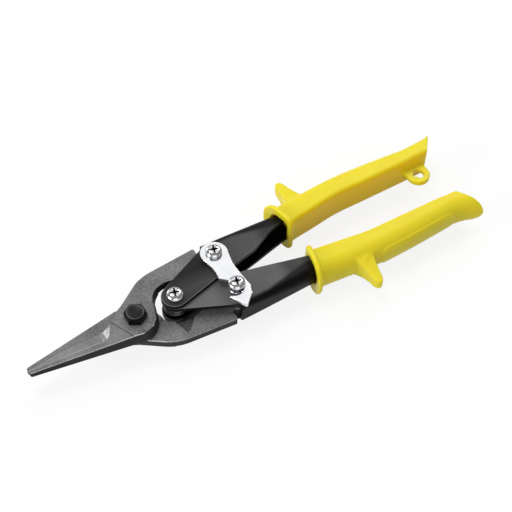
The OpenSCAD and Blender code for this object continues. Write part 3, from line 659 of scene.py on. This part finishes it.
dippedGrip("upper_grip", "upper_lever", 1, True, gripShape)
dippedGrip("lower_grip", "lower_lever", -1, False, gripShape)
print("grips done")


# opening spring: the coil and its upper leg ride on the upper handle, its last quarter turn and lower leg on the other
springShape = {
    "wire": 1.4, "coilRadius": 5.2, "low": -2.2, "turns": 2.37778, "pitch": 1.8505, "lowerTurn": 0.25,
    "legAngle": 22, "legTo": 18.8, "sides": 12, "stepsPerTurn": 40,
}


def wirePiece(name, body, fromTurn, toTurn, legAtStart, shape):
    bm = bmesh.new()
    angle, lean = math.radians(shape["legAngle"] + 90 + 360 * fromTurn), math.radians(shape["legAngle"])
    radial, up = Vector((math.cos(angle), math.sin(angle), 0)), Vector((0, 0, 1))
    centre = place(*handleScrewAt, shape["low"] + shape["pitch"] * fromTurn) + radial * shape["coilRadius"] * 0.001
    around = [2 * math.pi * i / shape["sides"] for i in range(shape["sides"])]
    ring = firstRing(bm, [centre + (radial * math.cos(a) + up * math.sin(a)) * shape["wire"] * 0.0005
                          for a in around], True)
    steps = math.ceil((toTurn - fromTurn) * shape["stepsPerTurn"])
    lift = shape["pitch"] * (toTurn - fromTurn) * 0.001 / steps
    made = bmesh.ops.spin(bm, geom=ring + list(bm.edges), cent=place(*handleScrewAt, 0), axis=up, dvec=up * lift,
                          angle=2 * math.pi * (toTurn - fromTurn), steps=steps, use_duplicate=False)
    legRing, side = (ring, 1) if legAtStart else (onlyVerts(made["geom_last"]), -1)
    reach = (shape["legTo"] - shape["coilRadius"] * math.cos(lean)) / math.sin(lean)
    legEdges = [e for e in bm.edges if e.verts[0] in legRing and e.verts[1] in legRing]
    made = bmesh.ops.extrude_edge_only(bm, edges=legEdges)
    bmesh.ops.translate(bm, verts=onlyVerts(made["geom"]),
                        vec=Vector((math.cos(lean), side * math.sin(lean), 0)) * reach * 0.001)
    bmesh.ops.holes_fill(bm, edges=[e for e in bm.edges if e.is_boundary], sides=0)
    bmesh.ops.recalc_face_normals(bm, faces=bm.faces)
    finishPiece(bm, name, body, [springSteel], ["torsion_spring"], sharp=50)


coilEnd = springShape["turns"] - springShape["lowerTurn"]
wirePiece("spring_coil_piece", "upper_lever", 0, coilEnd, True, springShape)
wirePiece("spring_leg_piece", "lower_lever", coilEnd, springShape["turns"], False, springShape)
print("spring done")


# screws with pan heads and cross recesses
screwShape = {
    "shank": 2.5, "tip": 0.4, "headRadius": 4.35, "headHeight": 3.0, "underEdge": (0.15, 0.2),
    "crown": (3, 0.8), "crownSteps": 10, "steps": 48,  # crown: breadth of its curve, its start above the underside
    # width, length and depth of a recess, and share of its length at the floor; ticks stand between the cross's arms
    "cross": (1.15, 5.8, 2.2, 0.5), "ticks": (0.35, 6.2, 0.5, 1), "floorWidth": 0.75, "turnAbout": -18,
}


def panScrew(nodeName, at, underHead, tail, shoulders, shape):
    bm = bmesh.new()
    r, h, shank, tip = shape["headRadius"], shape["headHeight"], shape["shank"], shape["tip"]
    (inset, rise), (crownWidth, crownFrom), top = shape["underEdge"], shape["crown"], underHead + h
    angles = [math.radians(90 * i / shape["crownSteps"]) for i in range(shape["crownSteps"] + 1)]
    profile = [(0, tail), (shank - tip, tail), (shank, tail + tip)] + (shoulders or [(shank, underHead)])
    profile += [(r - inset, underHead), (r, underHead + rise)]
    profile += [(r - crownWidth + crownWidth * math.cos(a),
                 underHead + crownFrom + (h - crownFrom) * math.sin(a)) for a in angles]
    profile.append((0, top))
    verts = firstRing(bm, [place(at[0] + pr, at[1], pz) for pr, pz in profile], False)
    bmesh.ops.spin(bm, geom=verts + list(bm.edges), cent=place(*at, 0), axis=(0, 0, 1), angle=2 * math.pi,
                   steps=shape["steps"], use_merge=True, use_duplicate=False)
    bmesh.ops.remove_doubles(bm, verts=bm.verts, dist=samePoint)
    bmesh.ops.recalc_face_normals(bm, faces=bm.faces)
    cutter = bmesh.new()
    for turn, kind in ((0, "cross"), (90, "cross"), (45, "ticks"), (135, "ticks")):
        width, length, depth, floorLength = shape[kind]
        bar = bmesh.ops.create_cube(cutter, size=1)["verts"]
        for v in bar:
            below = v.co.z < 0
            v.co = Vector((v.co.x * length * (floorLength if below else 1),
                           v.co.y * width * (shape["floorWidth"] if below else 1), -depth if below else 1))
        bmesh.ops.rotate(cutter, verts=bar, cent=(0, 0, 0),
                         matrix=Matrix.Rotation(math.radians(turn + shape["turnAbout"]), 3, "Z"))
    for v in cutter.verts:
        v.co = place(*at, top) + v.co * 0.001
    # the recess faces take the darker plate: painted shade
    recess = newObject("recess", cutter, [recessShade])
    blank = newObject("blank", bm, [chrome])
    cut = blank.modifiers.new("recess", "BOOLEAN")
    cut.object = recess
    cut.solver = "EXACT"
    cut.material_mode = "TRANSFER"
    cut.use_self = True
    bm = baked(blank)
    bpy.data.objects.remove(recess)
    body = nodes[nodeName]["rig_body"]
    finishPiece(bm, nodeName + "_piece", body, [chrome, recessShade], [nodeName], sharp=32)


screws = {  # node: place, underside of the head, tail, and shoulders of the shank as radius and height
    "handle_screw": (handleScrewAt, 7.32, -11.8, []),
    "upper_tang_screw": (tangScrewAt, 10.5, -9.7, []),
    "lower_tang_screw": ((tangScrewAt[0], -tangScrewAt[1]), 10.5, -11.8, [
        (2.5, 5.22), (3.9, 5.22), (3.9, 7.9), (3.7, 8.1), (2.2, 8.1), (2.2, 10.5)]),  # the latch's post
}
for nodeName, details in screws.items():
    panScrew(nodeName, *details, screwShape)
print("screws done")


# jaw bolt: hexagon head with a turned chamfer and a faintly dished face
boltShape = {
    "flats": 10, "underHead": 5.2, "head": 4, "chamfer": 0.8, "slope": 0.58,
    "shank": 3, "tail": -12.15, "tip": 0.5, "steps": 72,
    "rim": [(0.15, -0.09), (0, 0), (-0.35, 0), (-0.6, -0.12)], "centre": (0.4, -0.05),  # radius and height on the face
}


def hexBolt(nodeName, shape):
    bm = bmesh.new()
    angles = [2 * math.pi * i / shape["steps"] for i in range(shape["steps"])]
    shank, tail, under, tip = shape["shank"], shape["tail"], shape["underHead"], shape["tip"]
    top, faceRadius = under + shape["head"], shape["flats"] / 2 - shape["chamfer"]
    hexagon = [shape["flats"] / 2 / math.cos((a + math.pi / 6) % (math.pi / 3) - math.pi / 6) for a in angles]
    rings = [(shank - tip, tail), (shank, tail + tip), (shank, under), (hexagon, under),
             (hexagon, [top - (r - faceRadius) * shape["slope"] for r in hexagon])]
    rings += [(faceRadius + out, top + up) for out, up in shape["rim"]]
    rings.append((shape["centre"][0], top + shape["centre"][1]))
    ring = None
    for ringSizes in rings:
        radii, heights = [v if isinstance(v, list) else [v] * len(angles) for v in ringSizes]
        row = [place(r * math.cos(a), r * math.sin(a), z) for r, a, z in zip(radii, angles, heights)]
        if ring is None:
            first = ring = firstRing(bm, row, True)
        else:
            ring = nextRing(bm, ring, row)
            for face in {f for v in ring for f in v.link_faces}:
                face.material_index = 1 if heights[0] == top else 0  # worn, with a painted highlight, on the raised rim
    bm.faces.new(ring)
    bm.faces.new(first)
    bmesh.ops.recalc_face_normals(bm, faces=bm.faces)
    body = nodes[nodeName]["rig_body"]
    finishPiece(bm, nodeName + "_piece", body, [blackOxide, wornAndHighlitOxide], [nodeName], sharp=32)


hexBolt("jaw_bolt", boltShape)
print("bolt done")


# latch, nuts, washers and bushes
smallParts = [  # slot, material, width and steps of the broken edges, nodes
    ("chrome_plate", chrome, 0.4, 3, ["latch"]),
    ("zinc_plate", zinc, 0.12, 2, ["latch_washer"]),
    ("black_oxide", blackOxide, 0.12, 2, ["jaw_nut"]),
    ("zinc_plate", zinc, 0.12, 2, ["handle_nut", "upper_tang_nut", "lower_tang_nut"]),
    ("zinc_plate", zinc, 0.15, 2, ["spring_bush", "upper_tang_bush", "lower_tang_bush"]),
]
for slotName, material, width, steps, nodeNames in smallParts:
    for nodeName in nodeNames:
        softened(nodeName, [material], width, steps)
print("small parts done")


# floor, light and background
studio = {"floor": "#b4b4b4", "floorSize": 30, "floorGap": 0.0005, "world": 0.28, "whiteShare": 0.85}
paper = bpy.data.materials.new("white paper")  # plain white to the eye, a little grey for the light it throws back
paper.use_nodes = True
tree = paper.node_tree
tree.nodes.clear()
path = addNode(tree, "ShaderNodeLightPath")
seen = path.outputs["Is Camera Ray"]
for ray in ("Is Glossy Ray", "Is Transmission Ray"):
    seen = addNode(tree, "ShaderNodeMath", {"operation": "MAXIMUM"}, {0: seen, 1: path.outputs[ray]}).outputs[0]
share = addNode(tree, "ShaderNodeMath", {"operation": "MULTIPLY", 1: studio["whiteShare"]}, {0: seen})
tint = addNode(tree, "ShaderNodeMix", {"data_type": "RGBA", 6: linear(studio["floor"]), 7: (1, 1, 1, 1)}, {0: seen})
matt = addNode(tree, "ShaderNodeBsdfDiffuse", None, {"Color": tint.outputs[2]})
white = addNode(tree, "ShaderNodeEmission", {"Color": (1, 1, 1, 1), "Strength": 1})
both = addNode(tree, "ShaderNodeMixShader", None, {0: share.outputs[0], 1: matt.outputs[0], 2: white.outputs[0]})
addNode(tree, "ShaderNodeOutputMaterial", None, {"Surface": both.outputs[0]})
bm = bmesh.new()
bmesh.ops.create_grid(bm, x_segments=1, y_segments=1, size=studio["floorSize"])
floor = newObject("floor", bm, [paper])
floor.location.z = cadBox[0].z - studio["floorGap"]

world = bpy.data.worlds.new("studio")
bpy.context.scene.world = world
world.use_nodes = True
tree = world.node_tree
tree.nodes.clear()
soft = addNode(tree, "ShaderNodeBackground", {"Color": (1, 1, 1, 1), "Strength": studio["world"]})
addNode(tree, "ShaderNodeOutputWorld", None, {"Surface": soft.outputs[0]})

lamps = {  # name: place in metres, size, watts
    "back box": ((0.51, 0.88, 1.36), 2.0, 12),
    "side box": ((1.2, 0.8, 1.25), 0.7, 6),
    "top box": ((-0.3, 0.6, 1.6), 0.45, 5),
    "left box": ((-1.45, 0.1, 0.5), 0.8, 12),
    "low box": ((-0.45, 1.35, 0.3), 0.5, 2),
    "front box": ((-0.5, -1.3, 0.7), 1.3, 5.6),
}
for name, (at, size, watts) in lamps.items():
    lamp = bpy.data.objects.new(name, bpy.data.lights.new(name, "AREA"))
    bpy.context.scene.collection.objects.link(lamp)
    lamp.data.size = size
    lamp.data.energy = watts
    lamp.location = at
    lamp.rotation_euler = Vector(at).to_track_quat("Z", "Y").to_euler()
print("studio set")
